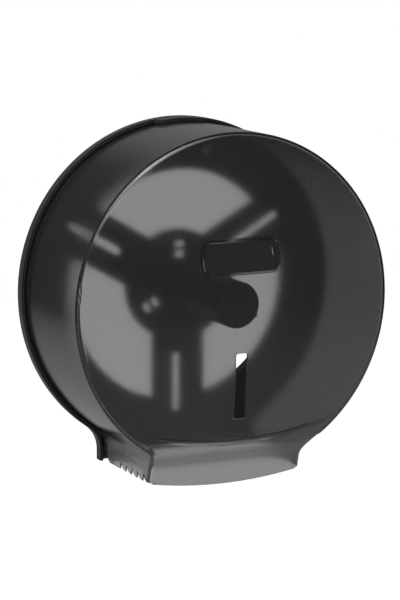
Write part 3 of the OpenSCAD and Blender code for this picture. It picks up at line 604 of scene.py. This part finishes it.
def grow(name, tree, sizes, material, nodes, place, **finish):
    """Runs a tree with real sizes on an empty object and keeps the mesh, moved to its place."""
    piece = bpy.data.objects.new(name, bpy.data.meshes.new(name))
    scene.collection.objects.link(piece)
    modifier = piece.modifiers.new(name, "NODES")
    modifier.node_group = tree
    for item in tree.interface.items_tree:
        if item.in_out == "INPUT":
            modifier[item.identifier] = material if item.name == "Material" else sizes[item.name]
    bpy.context.view_layer.update()
    mesh = bpy.data.meshes.new_from_object(piece.evaluated_get(bpy.context.evaluated_depsgraph_get()))
    piece.modifiers.clear()
    mesh.transform(Matrix.Translation(place))
    mesh.shade_smooth()
    piece.data = mesh
    return finish_piece(piece, nodes, **finish)


# %% [markdown]
# The latch's spring is a compression spring, wound from round wire with its end turns lying flat. The Screw
# modifier could turn a circle into a coil too, but its pitch is even. Here a straight line is bent into a
# helix, and the rise along it starts and ends gently, which closes the end turns.

# %% Wire along a helix
def helix(tree, radius, turns, height, per_turn=28):
    """A curve round Z whose ends lie flat, as the closed ends of a compression spring do."""
    whole = add(tree, "ShaderNodeMath", {"operation": "MULTIPLY"}, _0=turns, _1=float(per_turn))
    line = add(tree, "GeometryNodeCurvePrimitiveLine")
    points = add(tree, "GeometryNodeResampleCurve", Curve=line.outputs[0], Count=whole.outputs[0])
    along = add(tree, "GeometryNodeSplineParameter").outputs["Factor"]
    turned = add(tree, "ShaderNodeMath", {"operation": "MULTIPLY"}, _0=along, _1=turns)
    angle = add(tree, "ShaderNodeMath", {"operation": "MULTIPLY"}, _0=turned.outputs[0], _1=math.tau)
    x = add(tree, "ShaderNodeMath", {"operation": "COSINE"}, _0=angle.outputs[0])
    y = add(tree, "ShaderNodeMath", {"operation": "SINE"}, _0=angle.outputs[0])
    ring = add(tree, "ShaderNodeCombineXYZ", X=x.outputs[0], Y=y.outputs[0])
    flat = add(tree, "ShaderNodeVectorMath", {"operation": "SCALE"}, _0=ring.outputs[0], Scale=radius)
    rise = add(tree, "ShaderNodeMapRange", {"interpolation_type": "SMOOTHSTEP"}, Value=along)
    rise = add(tree, "ShaderNodeMath", {"operation": "MULTIPLY"}, _0=rise.outputs[0], _1=height)
    lift = add(tree, "ShaderNodeCombineXYZ", Z=rise.outputs[0])
    where = add(tree, "ShaderNodeVectorMath", {"operation": "ADD"}, _0=flat.outputs[0], _1=lift.outputs[0])
    return add(tree, "GeometryNodeSetPosition", Geometry=points.outputs[0],
               Position=where.outputs[0]).outputs[0]


def wire_along(tree, route, radius, sides=10):
    """A round wire whose middle follows a curve."""
    section = add(tree, "GeometryNodeCurvePrimitiveCircle", Resolution=sides, Radius=radius)
    return add(tree, "GeometryNodeCurveToMesh", Curve=route, Profile_Curve=section.outputs[0],
               Fill_Caps=True).outputs[0]


# %% Latch spring
WIRE_R, SPRING_TURNS = 0.35 * MM, 5.0
tree, given = geometry_tree("spring_wire", ["Coil radius", "Wire radius", "Turns", "Height"])
route = helix(tree, given.outputs["Coil radius"], given.outputs["Turns"], given.outputs["Height"])
close_tree(tree, given, wire_along(tree, route, given.outputs["Wire radius"]))
low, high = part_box("latch_spring")
foot = ((low[0] + high[0]) / 2, (low[1] + high[1]) / 2, low[2] + WIRE_R)
top = (foot[0], foot[1], high[2] - WIRE_R)
# its foot stands in the back plate's pocket and its top carries the latch, which presses it shorter; here it
# is baked where it stands and joins neither body
grow("latch_spring_wire", tree,
     {"Coil radius": (high[0] - low[0]) / 2 - WIRE_R, "Wire radius": WIRE_R, "Turns": SPRING_TURNS,
      "Height": top[2] - foot[2]}, wire, ["latch_spring"], foot,
     stretches=(BODY_OF["back_plate"], BODY_OF["latch"], foot, top))
print("spring box", [round((b - a) / MM, 2) for a, b in zip(low, high)], "mm")

# %% [markdown]
# The screws are pan heads with a cross recess. The head is a low cylinder with two crossed bars taken away,
# the shank a thinner cylinder, and the thread is the spring's helix again, wound tight with a thin wire. One
# screw is built and set on the two points of a line, so that both are the same.

# %% Sizes of a screw
tree, given = geometry_tree("pan_head_screws", ["Head radius", "Head height", "Shank radius", "Shank length",
                                                "Thread depth", "Thread turns", "Apart"])
size = given.outputs
SHARES = {"head middle": ("Head height", 0.5), "recess length": ("Head radius", 1.2),
          "recess width": ("Head radius", 0.26), "shank middle": ("Shank length", -0.5),
          "thread length": ("Shank length", 0.86), "thread start": ("Shank length", -0.93),
          "first screw": ("Apart", -0.5)}
share = {name: add(tree, "ShaderNodeMath", {"operation": "MULTIPLY"}, _0=size[whole], _1=part).outputs[0]
         for name, (whole, part) in SHARES.items()}
lifted = {name: add(tree, "ShaderNodeCombineXYZ", Z=share[name]).outputs[0]
          for name in ("head middle", "shank middle", "thread start")}
print("worked out from the sizes:", ", ".join(SHARES))

# %% Screw head
disc = add(tree, "GeometryNodeMeshCylinder", Vertices=40, Radius=size["Head radius"],
           Depth=size["Head height"])
head = add(tree, "GeometryNodeTransform", Geometry=disc.outputs["Mesh"], Translation=lifted["head middle"])
key_size = add(tree, "ShaderNodeCombineXYZ", X=share["recess length"], Y=share["recess width"],
               Z=size["Head height"])
key = add(tree, "GeometryNodeMeshCube", Size=key_size.outputs[0])
face = add(tree, "ShaderNodeCombineXYZ", Z=size["Head height"])
across = add(tree, "GeometryNodeTransform", Geometry=key.outputs["Mesh"], Translation=face.outputs[0])
upright = add(tree, "GeometryNodeTransform", Geometry=across.outputs[0], Rotation=(0, 0, math.pi / 2))
recess = add(tree, "GeometryNodeMeshBoolean", {"operation": "DIFFERENCE"}, Mesh_1=head.outputs[0])
for cut in (across, upright):
    tree.links.new(cut.outputs[0], recess.inputs["Mesh 2"])
print("head with a cross recess")

# %% Shank and thread
core = add(tree, "ShaderNodeMath", {"operation": "SUBTRACT"}, _0=size["Shank radius"],
           _1=size["Thread depth"]).outputs[0]
rod = add(tree, "GeometryNodeMeshCylinder", Vertices=32, Radius=core, Depth=size["Shank length"])
shank = add(tree, "GeometryNodeTransform", Geometry=rod.outputs["Mesh"], Translation=lifted["shank middle"])
ridge = wire_along(tree, helix(tree, core, size["Thread turns"], share["thread length"]),
                   size["Thread depth"], sides=6)
thread = add(tree, "GeometryNodeTransform", Geometry=ridge, Translation=lifted["thread start"])
screw = add(tree, "GeometryNodeJoinGeometry")
for shape in (recess, shank, thread):
    tree.links.new(shape.outputs[0], screw.inputs[0])
print("screw of", len(screw.inputs[0].links), "shapes")

# %% Latch screws
HEAD_R, HEAD_H, SHANK_R, THREAD_DEEP, THREAD_TURNS = 2.8 * MM, 1.8 * MM, 1.2 * MM, 0.2 * MM, 8.0
left = add(tree, "ShaderNodeCombineXYZ", X=share["first screw"])
step = add(tree, "ShaderNodeCombineXYZ", X=size["Apart"])
points = add(tree, "GeometryNodeMeshLine", Count=2, Start_Location=left.outputs[0], Offset=step.outputs[0])
# a screw is drawn upright, so it is turned to face the front
placed = add(tree, "GeometryNodeInstanceOnPoints", Points=points.outputs[0], Instance=screw.outputs[0],
             Rotation=(math.pi / 2, 0, 0))
close_tree(tree, given, placed.outputs[0])
low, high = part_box("latch_guide_screws")
grow("latch_screws_pan_head", tree,
     {"Head radius": HEAD_R, "Head height": HEAD_H, "Shank radius": SHANK_R,
      "Shank length": high[1] - low[1] - HEAD_H, "Thread depth": THREAD_DEEP, "Thread turns": THREAD_TURNS,
      "Apart": high[0] - low[0] - 2 * HEAD_R}, zinc, ["latch_guide_screws"],
     (0, low[1] + HEAD_H, (low[2] + high[2]) / 2), bevel_mm=0.12, sharp=40)

# %% [markdown]
# The hinge pins are turned from steel rod, with a small chamfer at each end that leads them into the bore. A
# bevel of one step draws that chamfer.

# %% Hinge pins
for side in ("left", "right"):
    moulding("hinge_pin_" + side, "hinge_pin_" + side + "_turned", zinc, bevel_mm=0.25, sharp=40, steps=1)
